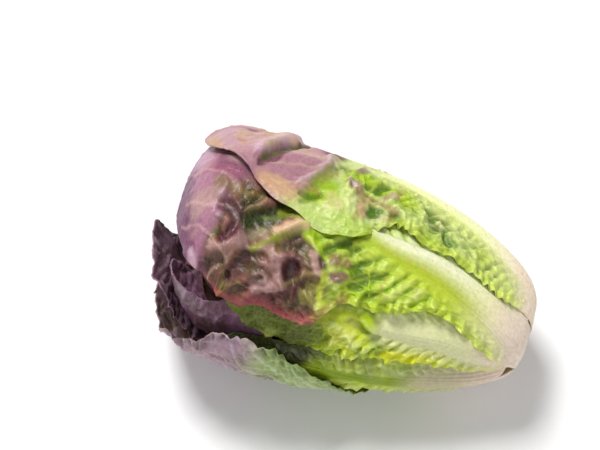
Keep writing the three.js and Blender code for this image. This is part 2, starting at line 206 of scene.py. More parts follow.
def flesh_material(name, roughness, glow, grain_size, grain_height, coat):
    """Plant tissue: the point colours with fine grain, light soaking a little way in, and a wet skin.
    grain_size and grain_height are in mm."""
    material, tree, shader = new_material(name)
    tone = add_node(tree, "Attribute", {}, attribute_name="tone")
    place = add_node(tree, "TexCoord", {})
    grain = add_node(tree, "TexNoise", {"Scale": 1000 / grain_size, "Detail": 4.0,
                                        "Vector": place.outputs["Object"]})
    shift = add_node(tree, "MapRange", {"From Min": 0.3, "From Max": 0.7, "To Min": 0.88, "To Max": 1.06,
                                        "Value": grain.outputs["Fac"]})
    shade = add_node(tree, "HueSaturation", {"Saturation": 1.06, "Value": shift.outputs["Result"],
                                             "Color": tone.outputs["Color"]})
    bump = add_node(tree, "Bump", {"Strength": 0.5, "Distance": grain_height / 1000,
                                   "Height": grain.outputs["Fac"]})
    set_inputs(tree, shader, {
        "Base Color": shade.outputs["Color"], "Normal": bump.outputs["Normal"], "Roughness": roughness,
        "Subsurface Weight": glow, "Subsurface Radius": (1.0, 1.0, 0.35), "Subsurface Scale": 0.0025,
        "Specular IOR Level": 0.3, "Coat Weight": coat, "Coat Roughness": 0.25})
    return material


def stem_surface():
    """The cone's skin turned round the axis, closed by a slightly dished cut face and a point."""
    side = np.linspace(0, 48, 50)[1:]
    a = np.r_[np.full(8, 0.0), side, 51.5, STEM_LENGTH]
    radius = np.r_[np.linspace(0.02, 1, 8) * (STEM_RADIUS - 0.6), curve(side, STEM_PROFILE), 3.2, 0.05]
    around = np.linspace(0, 2 * np.pi, 96, endpoint=False)
    place, angle = np.meshgrid(a, around, indexing="ij")
    reach = radius[:, None] * (1 + STEM_RIB_HEIGHT * np.sin(STEM_RIBS * angle + place * STEM_TWIST))
    dish = CUT_DISH * (1 - (reach / STEM_RADIUS) ** 2) * (place == 0)
    up, aside = reach * np.cos(angle), reach * np.sin(angle)
    points = to_ground(place + dish, up, aside).reshape(-1, 3)
    rim = ease(0.82, 1.0, reach / STEM_RADIUS) * ease(5, 0, place)
    tone = mix((244, 232, 212), (226, 182, 156), rim)
    tone = tone * (1 - 0.12 * ease(0, 0.3, noise(up, aside, 1.4, 5)))[..., None]
    caps = [np.arange(len(around)), np.arange(len(points) - 1, len(points) - 1 - len(around), -1)]
    return points, grid_faces(len(a), len(around), wrap=True)[:, ::-1], caps, tone.reshape(-1, 3)


stem = add_mesh("core_stem_flesh", *stem_surface())
stem.data.materials.append(flesh_material(
    "moist_stem", roughness=0.5, glow=0.3, grain_size=1.2, grain_height=0.2, coat=0.2))
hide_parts("core_stem")
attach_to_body(stem, "root")

# ---------------------------------------------------------------------------------------------
# How a leaf grows. Each leaf is one thin blade on a thick pale rib, wrapped round the head on a
# shell of its own. The blade is fluted beside the rib, blistered between its side veins and
# ruffled at its margin.

BELLY_RADIUS = 73.0  # of the shell of inset 0, as are the next two
CAP_START = 186.0  # where the closed end begins
CAP_DEPTH = 46.0
LEAST_CAP_DEPTH = 8.0
START_DROP, DEPTH_DROP = 0.45, 0.6  # what CAP_START and CAP_DEPTH lose for each mm of inset
SHELL_STEPS = 400
TIGHTEST_SWING = 12.0  # the least radius that a row of a leaf swings round
BELLY_POWER = 0.556  # the lower, the sooner a shell swells out from the stem
CAP_POWER = 2.6  # 2 gives a round closed end, more a blunt one
LEAF_CLEARANCE = 3.6  # from the stem's skin to the middle of a leaf's base
WAVE_LENGTH = 37.0  # of the long waves of a margin
RUFFLE_BAND = 12.0  # how far in from the margin the ruffle reaches
BLADE = 0.8  # thickness of the blade away from the rib
MAP_LENGTH = 100  # mm of leaf in one unit of its UV map
FLOOR_OF_PITS = -2.8  # deeper hollows of a blade are flattened, clear of the leaf beneath
RIB_SHARE = 0.68  # of the narrower side, at most, taken up by the rib
RIB_OUTWARD, RIB_INWARD = 0.65, 0.35  # how a rib's height is shared between its two faces
RIB_HEIGHT = [(0, 4.5), (0.08, 7), (0.25, 6), (0.5, 4), (0.75, 2.2), (1, 0.5)]
RIB_HALF_WIDTH = [(0, 10), (0.1, 15), (0.2, 13), (0.35, 9.5), (0.5, 6.5), (0.75, 4), (1, 2.5)]
BLADE_THICKNESS = [(0, 2.4), (0.1, 1.6), (0.25, 1), (0.4, BLADE), (1, BLADE)]
# What a leaf's table has unless it says otherwise, and then the same for its crinkle. Lengths are
# in mm and curves are lists of (place, value). attach is where on the stem the leaf starts and inset
# how far in from BELLY_RADIUS its shell lies. Over the share of the length run turn, the rib's angle
# round the head in degrees, minus and plus, the blade's width on either side of the rib, and lift,
# its stand-off. frill, tuck and ruffle are for the minus side and then the plus side. The curves of
# the crinkle run over s, and the colours' borders give an s for each y.
LEAF = {"round": 0.2, "scallop": 0.03, "lift": [(0, 0), (1, 0)], "frill": (0, 0), "tuck": (0, 0),
        "folds": [], "strokes": [], "veins": [], "patches": [], "stripes": 0.12, "teeth": 0.0,
        "inside": 0.9, "rib_spread": 8}
CRINKLE = {"flute_length": 6.5, "flute_reach": 14, "vein_gap": 19, "blister_size": 9, "crumple_size": 24,
           "ruffle_length": 9}


def cap_radius(angle, belly, depth):
    """Reach of the closed end from its centre: a superellipse, (cos/depth)^e + (sin/belly)^e = 1."""
    return ((np.abs(np.cos(angle)) / depth) ** CAP_POWER
            + (np.abs(np.sin(angle)) / belly) ** CAP_POWER) ** (-1 / CAP_POWER)


def shell_profile(attach, inset):
    """Run, axial place, radius and cap angle down a shell: it swells from the stem as
    (1 - (1 - q)^2)^power, runs along the belly and closes over the tips."""
    base = float(curve(attach, STEM_PROFILE)) + LEAF_CLEARANCE
    belly, start = BELLY_RADIUS - inset, CAP_START - START_DROP * inset
    depth = max(LEAST_CAP_DEPTH, CAP_DEPTH - DEPTH_DROP * inset)
    n = SHELL_STEPS
    q = (np.arange(n) / (n - 1)) ** 2
    angle = np.pi / 2 - np.pi * np.arange(1, n) / (n - 1)
    rho = cap_radius(angle, belly, depth)
    axial = np.r_[q * (start - attach) + attach, start + rho * np.cos(angle)]
    radius = np.r_[base + (belly - base) * (1 - (1 - q) ** 2) ** BELLY_POWER, rho * np.sin(angle)]
    run = np.r_[0, np.cumsum(np.hypot(np.diff(axial), np.diff(radius)))]
    return {"run": run, "axial": axial, "radius": radius, "angle": np.r_[np.full(n, np.pi / 2), angle],
            "start": start, "belly": belly, "depth": depth}


def leaf_skin(leaf, u, s, y, off):
    """Points of a leaf, off mm outside its shell. s is the run along the leaf and y the distance
    round it from the rib; a row swings round the shell's ray by y over the shell's radius."""
    shell = leaf["shell"]
    axial, radius, angle = (np.interp(s, shell["run"], shell[k]) for k in ("axial", "radius", "angle"))
    on_cap = angle < np.pi / 2 - 1e-9
    centre = np.where(on_cap, shell["start"], axial)
    rho = np.where(on_cap, cap_radius(angle, shell["belly"], shell["depth"]), radius)
    swing = y / np.maximum(rho, TIGHTEST_SWING)
    phi = np.radians(curve(u, leaf["turn"]))
    along, outward, around = np.cos(swing) * np.cos(angle), np.cos(swing) * np.sin(angle), np.sin(swing)
    polar = np.arctan2(np.hypot(outward, around), along)
    rho = np.where(on_cap, cap_radius(polar, shell["belly"], shell["depth"]), radius) + off
    p = rho * (outward * np.cos(phi) - around * np.sin(phi))
    q = rho * (outward * np.sin(phi) + around * np.cos(phi))
    return centre + rho * along, p, q


def stand_off(leaf, u, s, y, v):
    """How far the blade stands off its shell in its large shape: the tip's lift, the side's tuck
    under its neighbour, long margin waves and raised folds, each fold a Gaussian ridge."""
    tuck_minus, tuck_plus = leaf["tuck"]
    frill_minus, frill_plus = leaf["frill"]
    side = np.abs(v)
    off = curve(s / leaf["length"], leaf["lift"])
    off = off + np.where(v < 0, tuck_minus, tuck_plus) * ease(0.1, 0.6, side) * ease(0, 0.12, u)
    wave = np.sin(2 * np.pi * s / WAVE_LENGTH + 2.4 * v)
    frill = np.where(v < 0, frill_minus, frill_plus)
    off = off + frill * ease(0.45, 1, side) * ease(0.03, 0.2, u) * (1 + wave)
    for fold_s, fold_y, direction, half_length, half_width, height in leaf["folds"]:
        cosine, sine = math.cos(math.radians(direction)), math.sin(math.radians(direction))
        lengthways = ((s - fold_s) * cosine + (y - fold_y) * sine) / half_length
        sideways = (-(s - fold_s) * sine + (y - fold_y) * cosine) / half_width
        off = off + height * np.exp(-lengthways * lengthways - sideways * sideways)
    return off


def cells(x, y, size, seed):
    """Distances, in cells, to the nearest and next nearest of points jittered one to a lattice cell."""
    jx, jy = 0.42 * lattice(seed), 0.42 * lattice(seed + 1)
    n = jx.shape[0]
    gx, gy = x / size, y / size
    ix, iy = np.floor(gx).astype(int), np.floor(gy).astype(int)
    first, second = np.full(gx.shape, 9.0), np.full(gx.shape, 9.0)
    for dx in (-1, 0, 1):
        for dy in (-1, 0, 1):
            kx, ky = ix + dx, iy + dy
            px, py = kx + 0.5 + jx[kx % n, ky % n], ky + 0.5 + jy[kx % n, ky % n]
            d = np.hypot(gx - px, gy - py)
            second = np.minimum(second, np.maximum(first, d))
            first = np.minimum(first, d)
    return first, second


def creases(x, y, size, seed, sharp):
    """Ridges where warped noise crosses zero: 1 along the lines, 0 away from them; sharp is how
    quickly they fall off."""
    return np.clip(1 - sharp * np.abs(noise(x, y, size, seed)), 0, 1) ** 1.5


def stroke(line, s, y):
    """Distance in mm to a line drawn on the leaf, written as s, y, s, y and so on from point to point,
    and which side of it a place lies on, +1 or -1."""
    nearest, side = np.full(s.shape, 1e9), np.ones(s.shape)
    for s0, y0, s1, y1 in zip(line[::2], line[1::2], line[2::2], line[3::2]):
        ds, dy = s1 - s0, y1 - y0
        t = np.clip(((s - s0) * ds + (y - y0) * dy) / (ds * ds + dy * dy), 0, 1)
        gap = np.hypot(s - s0 - t * ds, y - y0 - t * dy)
        side = np.where(gap < nearest, np.sign(ds * (y - y0) - dy * (s - s0)), side)
        nearest = np.minimum(nearest, gap)
    return nearest, side


def varying(table, key, s, otherwise=1.0):
    """The value at s of a curve in a table, or a fixed one where the table has no such curve."""
    return curve(s, table[key]) if key in table else otherwise


def crinkle(leaf, s, y, beyond, to_margin):
    """Fine relief of the blade in mm, with its vein lines. beyond is the distance past the rib's
    edge and to_margin the distance to the margin. Flutes run out from the rib; side veins stand up
    along lines that lean towards the tip; between them lie pits; crumples are ridges where slow
    noise crosses zero; the ruffle is an uneven wave that grows to the margin."""
    form, seed = CRINKLE | leaf["crinkle"], leaf["seed"]
    out = ease(0, 5, beyond)
    bend = s - 0.75 * beyond + 4.0 * noise(s, y, 26, seed) + 2.2 * noise(s, y, 11, seed + 1)
    reach = form["flute_reach"] * (1 + 0.5 * noise(s, 0 * y, 13, seed + 2))
    flutes = 2.4 * np.abs(np.sin(np.pi * bend / form["flute_length"])) ** 0.8 - 1.5
    flutes = flutes * (0.8 + 0.5 * noise(s, y, 9, seed + 13))
    flutes = flutes * ease(0, 2, beyond) * ease(reach + 14, reach, beyond)
    flutes = flutes * (1 - 0.9 * ease(0.5, 0.7, s / leaf["length"])) * ease(10, 45, s)
    flank = varying(form, "flank", s, 0.0)  # a smooth band beside the rib on the plus side
    flutes = np.where(y > 0, flutes * ease(flank - 2, flank + 3, beyond), flutes)
    lean = s - 0.7 * beyond + 6.0 * noise(s, y, 38, seed + 3) + 2.0 * noise(s, y, 13, seed + 4)
    off_vein = np.abs((lean / form["vein_gap"]) % 1 - 0.5) * form["vein_gap"]
    vein = np.exp(-(off_vein / 1.1) ** 2) * out * ease(0, 9, to_margin)
    warp = 2.6 * noise(s, y, 11, seed + 5)
    first, second = cells(lean + warp, y * 1.15 + warp, form["blister_size"], seed + 6)
    edge = second - first
    line = np.exp(-(edge / 0.07) ** 2) * out
    net = np.exp(-(edge / 0.22) ** 2) - 0.4
    sx, sy = s + 10 * noise(s, y, 33, seed + 8), y + 10 * noise(s, y, 33, seed + 9)
    size = form["crumple_size"]
    crumple = creases(sx, sy, size, seed + 10, 2.6) + 0.5 * creases(sx, sy, size * 0.45, seed + 11, 2.3)
    roll = noise(sx, sy, size * 1.3, seed + 14)
    fine = creases(s + warp, y - warp, 4.5, seed + 15, 1.8)
    depth = form["crumple"] * varying(form, "crumple_along", s) * ease(3, 14, beyond)
    band = ease(RUFFLE_BAND, 0, to_margin)
    phase = s / form["ruffle_length"] + 0.9 * noise(s, 0 * y, 15, seed + 12) + 0.02 * y
    ruffle = np.sin(2 * np.pi * phase) + 0.5 * noise(s, y, 3.5, seed + 16)
    ruffle = ruffle * (0.7 + 0.6 * noise(s, 0 * y, 21, seed + 17))
    amount = np.where(y < 0, curve(s, form["ruffle"][0]), curve(s, form["ruffle"][1]))
    curl = creases(s + 2 * warp, y + 2 * warp, 9, seed + 23, 1.8)
    curl = curl + 0.6 * creases(s - warp, y, 5, seed + 24, 1.6) - 0.7
    mask = leaf["open"](s, y) if "open" in leaf else 1.0
    blister = form["blister"] * varying(form, "blister_along", s) * ease(5, 35, s)
    height = (form["flute"] * flutes + form["vein"] * vein + blister * net * ease(0, 6, beyond)
              + 0.35 * blister * fine * out) * (0.35 + 0.65 * mask)
    height = height + mask * (depth * (crumple - 0.7 + 0.8 * roll) + amount * band * (ruffle + 0.9 * curl))
    ws, wy = s + 1.6 * noise(s, y, 9, seed + 18), y + 1.6 * noise(s, y, 9, seed + 19)
    for drawn_line, rise, plus_width, minus_width in leaf["strokes"]:
        gap, hand = stroke(drawn_line, ws, wy)
        raised = np.exp(-(gap / np.where(hand > 0, plus_width, minus_width)) ** 2)
        height = height + 1.25 * rise * raised * (0.1 + 0.9 * mask)
    below = height - FLOOR_OF_PITS
    height = np.where(below < 0, FLOOR_OF_PITS + 0.3 * below, height)
    drawn = 0 * s
    for drawn_line in leaf["veins"]:
        drawn = np.maximum(drawn, np.exp(-(stroke(drawn_line, ws, wy)[0] / 0.9) ** 2))
    height = height + 0.5 * drawn
    faint = varying(form, "vein_along", s)
    return height, np.maximum(drawn, faint * np.maximum(vein, 0.5 * line)), flutes


def grow_leaf(node, leaf, rows, columns, material):
    """One leaf as a closed thin body: an outer and an inner skin over the same grid of points, rib
    in the middle, joined round the rim. Columns crowd towards the margins, where the ruffle is."""
    leaf = LEAF | leaf | {"shell": shell_profile(leaf["attach"], leaf["inset"])}
    seed, length, teeth = leaf["seed"], leaf["length"], leaf["teeth"]
    across = np.linspace(-1, 1, columns)
    across = across * (1.25 - 0.25 * across ** 2)
    u, v = np.meshgrid(np.linspace(0, 1, rows), across, indexing="ij")
    phase = 2 * np.pi * u * length / WAVE_LENGTH
    swing = leaf["scallop"] * ease(0.12, 0.35, u)
    nick = teeth * noise(u * length, v * 3, 5.5, seed + 20) * ease(0.05, 0.3, u)
    minus = curve(u, leaf["minus"]) * (1 + swing * np.sin(phase + 1.2))
    plus = curve(u, leaf["plus"]) * (1 + swing * np.sin(phase * 0.9 + 0.4))
    rib_half = np.minimum(curve(u, RIB_HALF_WIDTH), RIB_SHARE * np.minimum(minus, plus))
    width = np.where(v < 0, minus, plus)
    y = v * width + np.sign(v) * nick * np.abs(v) ** 6
    s = u * length * (1 - leaf["round"] * np.abs(v) ** 2.4 * ease(0.35, 1, u))
    s = s + teeth * noise(y, u * 3, 5.5, seed + 21) * ease(0.96, 1, u)
    beyond = np.maximum(np.abs(y) - 0.8 * rib_half, 0)
    to_margin = np.maximum(width - np.abs(y), 0)
    height, vein, flutes = crinkle(leaf, s, y, beyond, to_margin)
    bump = np.maximum(0, 1 - (y / rib_half) ** 2) ** 2
    stripe = np.sin(2 * np.pi * y / 2.3 + 1.5 * noise(s, y, 30, seed + 22)) * ease(0, 0.15, bump)
    swell = curve(u, RIB_HEIGHT) * leaf["rib"]
    mid = stand_off(leaf, u, s, y, v) + height + leaf["stripes"] * stripe * ease(1, 0.6, u)
    blade = curve(u, BLADE_THICKNESS) * (1 - 0.35 * np.abs(v) ** 8)
    outer = leaf_skin(leaf, u, s, y, mid + blade / 2 + RIB_OUTWARD * swell * bump)
    inner = leaf_skin(leaf, u, s, y, mid - blade / 2 - RIB_INWARD * swell * bump)
    skins = [to_ground(*outer), to_ground(*inner)]
    skins[0][..., 2] = np.maximum(skins[0][..., 2], 0.0)
    skins[1][..., 2] = np.maximum(skins[1][..., 2], BLADE)
    here = {"a": outer[0], "s": s, "y": y, "beyond": beyond, "margin": to_margin, "vein": vein,
            "flutes": flutes, "height": height, "rib": bump, "over": y / rib_half}  # at every point
    tone = leaf["paint"](leaf, here)
    count = rows * columns
    top = grid_faces(rows, columns)
    rim = np.r_[np.arange(columns - 1), np.arange(rows - 1) * columns + columns - 1,
                (rows - 1) * columns + np.arange(columns - 1, 0, -1), np.arange(rows - 1, 0, -1) * columns]
    after = np.roll(rim, -1)
    wall = np.stack([rim, after, after + count, rim + count], -1)
    faces = np.concatenate([top[:, ::-1], top + count, wall])
    points = np.concatenate([skin.reshape(-1, 3) for skin in skins])
    inside = tone * (1 - (1 - leaf["inside"]) * ease(40, 110, outer[0]))[..., None]
    tones = np.concatenate([tone.reshape(-1, 3), inside.reshape(-1, 3)])
    uv = np.tile(np.stack([s, y], -1).reshape(-1, 2) / MAP_LENGTH, (2, 1))
    piece = add_mesh(node + "_blade", points, faces, (), tones, np.tile(bump.ravel(), 2), uv)
    piece.data.materials.append(material)
    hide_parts(node)
    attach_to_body(piece, "root")


def leaf_material(name, roughness, glow, vein_light, coat):
    """A leaf's skin: plant tissue with a net of small veins a few millimetres apart, between the
    cells of a Voronoi pattern over the leaf, that is lighter and a little raised off the rib."""
    material = flesh_material(name, roughness, glow, grain_size=2.2, grain_height=0.25, coat=coat)
    tree = material.node_tree
    shader = tree.nodes["Principled BSDF"]
    shade = shader.inputs["Base Color"].links[0].from_node
    bump = shader.inputs["Normal"].links[0].from_node
    place = add_node(tree, "UVMap", {}, uv_map="leaf")
    net = add_node(tree, "TexVoronoi", {"Scale": 26.0, "Vector": place.outputs["UV"]},
                   feature="DISTANCE_TO_EDGE")
    line = add_node(tree, "MapRange", {"From Max": 0.16, "To Min": 1.0, "To Max": 0.0,
                                       "Value": net.outputs["Distance"]})
    rib = add_node(tree, "Attribute", {}, attribute_name="rib")
    vein = add_node(tree, "Math", {0: line.outputs["Result"], 1: rib.outputs["Fac"]},
                    operation="SUBTRACT", use_clamp=True)
    light = add_node(tree, "Math", {0: vein.outputs["Value"], 1: vein_light}, operation="MULTIPLY")
    veined = add_node(tree, "Mix", {"Factor": light.outputs["Value"], "A": shade.outputs["Color"],
                                    "B": (0.42, 0.46, 0.20, 1)}, data_type="RGBA", blend_type="SCREEN")
    grain_relief = bump.inputs["Height"].links[0].from_socket
    relief = add_node(tree, "Math", {0: vein.outputs["Value"], 1: 0.7, 2: grain_relief},
                      operation="MULTIPLY_ADD")
    set_inputs(tree, shader, {"Base Color": veined.outputs["Result"]})
    set_inputs(tree, bump, {"Height": relief.outputs["Value"]})
    return material


# ---------------------------------------------------------------------------------------------
# The top main leaf. The broadest leaf, wrapped over the top: a wide pale rib sweeps from the stem
# across the head, bright green beside it, bronze further out and mauve over the closed end.

red_skin = leaf_material("red_leaf_skin", roughness=0.42, glow=0.12, vein_light=0.06, coat=0.08)


def spread(leaf, here, size, number):
    """Slow noise over the leaf, of the given size in mm; number keeps one pattern from another."""
    return noise(here["s"], here["y"], size, leaf["seed"] + 30 + number)


def layered(tone, *layers):
    """A tone with colours laid over it one after another, each written as (colour, share)."""
    for colour, share in layers:
        tone = mix(tone, colour, share)
    return tone


def patched(leaf, here, tone):
    """The leaf's patches laid over its colour: each follows a drawn line, with a width in mm, a
    colour and a strength, and has a ragged edge. Most are the leaf's own marks; some are painted
    shade in hollows and painted highlights on raised folds."""
    s, y = here["s"], here["y"]
    ws, wy = s + 2.5 * spread(leaf, here, 9, 5), y + 2.5 * spread(leaf, here, 9, 6)
    ragged = 1 + 0.35 * spread(leaf, here, 4, 7)
    for drawn_line, width, colour, strength in leaf["patches"]:
        gap = stroke(drawn_line, ws, wy)[0] * ragged
        tone = mix(tone, colour, ease(1.25 * width, 0.35 * width, gap) * strength)
    return tone


def paint_red(leaf, here):
    """Rib cream by the stem to green; blade bright green by the rib, bronze past the leaf's first
    border line and mauve past its second, both lines broken up by noise. Painted shade darkens
    the hollows and the flute valleys, and painted highlights lighten the ridges and flute crests."""
    s, y, height, flutes, beyond = here["s"], here["y"], here["height"], here["flutes"], here["beyond"]
    slow, middle, small = spread(leaf, here, 24, 0), spread(leaf, here, 10, 1), spread(leaf, here, 4.5, 2)
    # Painted light on the green: darker in the flute valleys and paler on the flute crests, painted shade
    # (62, 94, 12) in the hollows and painted highlight (214, 226, 136) on the ridges.
    lime = mix((180, 202, 66), (128, 166, 32), 0.5 - 0.35 * flutes + 0.3 * small)
    lime = layered(
        lime, ((208, 222, 110), ease(0.1, 1.0, flutes) * 0.5),
        (leaf["pale"], ease(-0.3, 0.5, slow) * leaf["paleness"]),
        ((62, 94, 12), ease(-0.4, -2.6, height) * 0.8), ((224, 228, 160), ease(80, 25, s) * 0.7),
        ((214, 226, 136), ease(0.8, 2.8, height) * 0.5),
        ((150, 108, 74), ease(0.45, 0.7, middle) * ease(70, 110, s) * 0.6))
    into_bronze = s - curve(y, leaf["bronze_from"]) + 8 * slow + 7 * middle + 4 * small
    bronze = mix((128, 74, 80), (72, 38, 42), ease(-0.4, 0.5, middle))
    # Painted highlight (184, 140, 146) on the high crests and painted shade (34, 14, 18) in the hollows.
    bronze = layered(
        bronze, ((112, 102, 44), ease(0.3, 0.6, spread(leaf, here, 13, 3)) * 0.55),
        ((184, 140, 146), ease(2.2, 4.6, height) * 0.65), ((34, 14, 18), ease(0.1, -1.9, height) * 0.9))
    into_mauve = s - curve(y, leaf["mauve_from"]) + 6 * slow + 5 * middle + 2 * small
    mauve = mix(leaf["mauve"][0], leaf["mauve"][1], ease(-0.4, 0.5, slow + 0.3 * middle))
    # Painted shade (98, 50, 72) in the hollows and painted highlight (216, 184, 200) on the ridges.
    mauve = layered(
        mauve, (leaf["mauve"][2], ease(-0.2, 0.5, spread(leaf, here, 15, 4)) * 0.75),
        ((98, 50, 72), ease(-0.3, -2.2, height) * 0.8), ((216, 184, 200), ease(0.6, 2.8, height) * 0.5))
    tone = layered(
        lime, (bronze, ease(-5, 7, into_bronze) * leaf["bronze"]), (mauve, ease(-6, 8, into_mauve)))
    vein_tone = mix((206, 214, 112), (150, 142, 74), ease(0, 12, into_bronze) * leaf["bronze"])
    vein_tone = mix(vein_tone, leaf["vein_tone"], ease(-30, 0, into_mauve))
    rose = ease(leaf["rose"] + 6, leaf["rose"] - 4, here["margin"] + 1.5 * middle) * ease(128, 145, s)
    edge = ease(9, 3, here["margin"]) * ease(132, 118, s) * (y > 0)
    by_rib = mix(leaf["by_rib"], (230, 226, 176), ease(75, 25, s))
    # Pale flutes beside the rib on the minus side: their own pale colour, made whiter on the crests as
    # painted highlight.
    white = ease(9, 2, beyond) * (0.45 + 0.35 * np.clip(flutes, -1, 1)) * ease(130, 100, s) * (y < 0)
    tone = layered(
        patched(leaf, here, tone), (vein_tone, here["vein"] * 0.45), ((186, 92, 100), rose * 0.7 * (y > 0)),
        ((206, 224, 84), edge * 0.5), (by_rib, ease(15, 2, beyond) * ease(150, 80, s) * 0.85),
        ((238, 246, 214), white))
    base, middle_rib, upper_side, lower_side = leaf["rib_tones"]
    sides = mix(upper_side, lower_side, ease(-0.6, 0.8, here["over"]))
    rib_tone = layered(
        mix(base, middle_rib, ease(18, 62, s)), (sides, ease(30, 70, s)),
        ((214, 160, 90), ease(0.66, 0.84, noise(s, y, 1.6, leaf["seed"])) * 0.4))
    on_rib = np.maximum(ease(0.02, 0.35, here["rib"]) * ease(158, 104, s), ease(34, 16, s + 3 * small))
    return mix(tone, rib_tone, on_rib)


def open_main(s, y):
    """0 where the back leaf covers this one and 1 where it lies open."""
    cover = curve(s, [(18, -16), (56, -11), (83, -10), (100, -13), (115, -17), (131, 2), (141, 15),
                      (150, 20), (168, 21), (176, 16), (204, 15), (225, -5), (242, -36)])
    return ease(cover - 3, cover + 9, y)


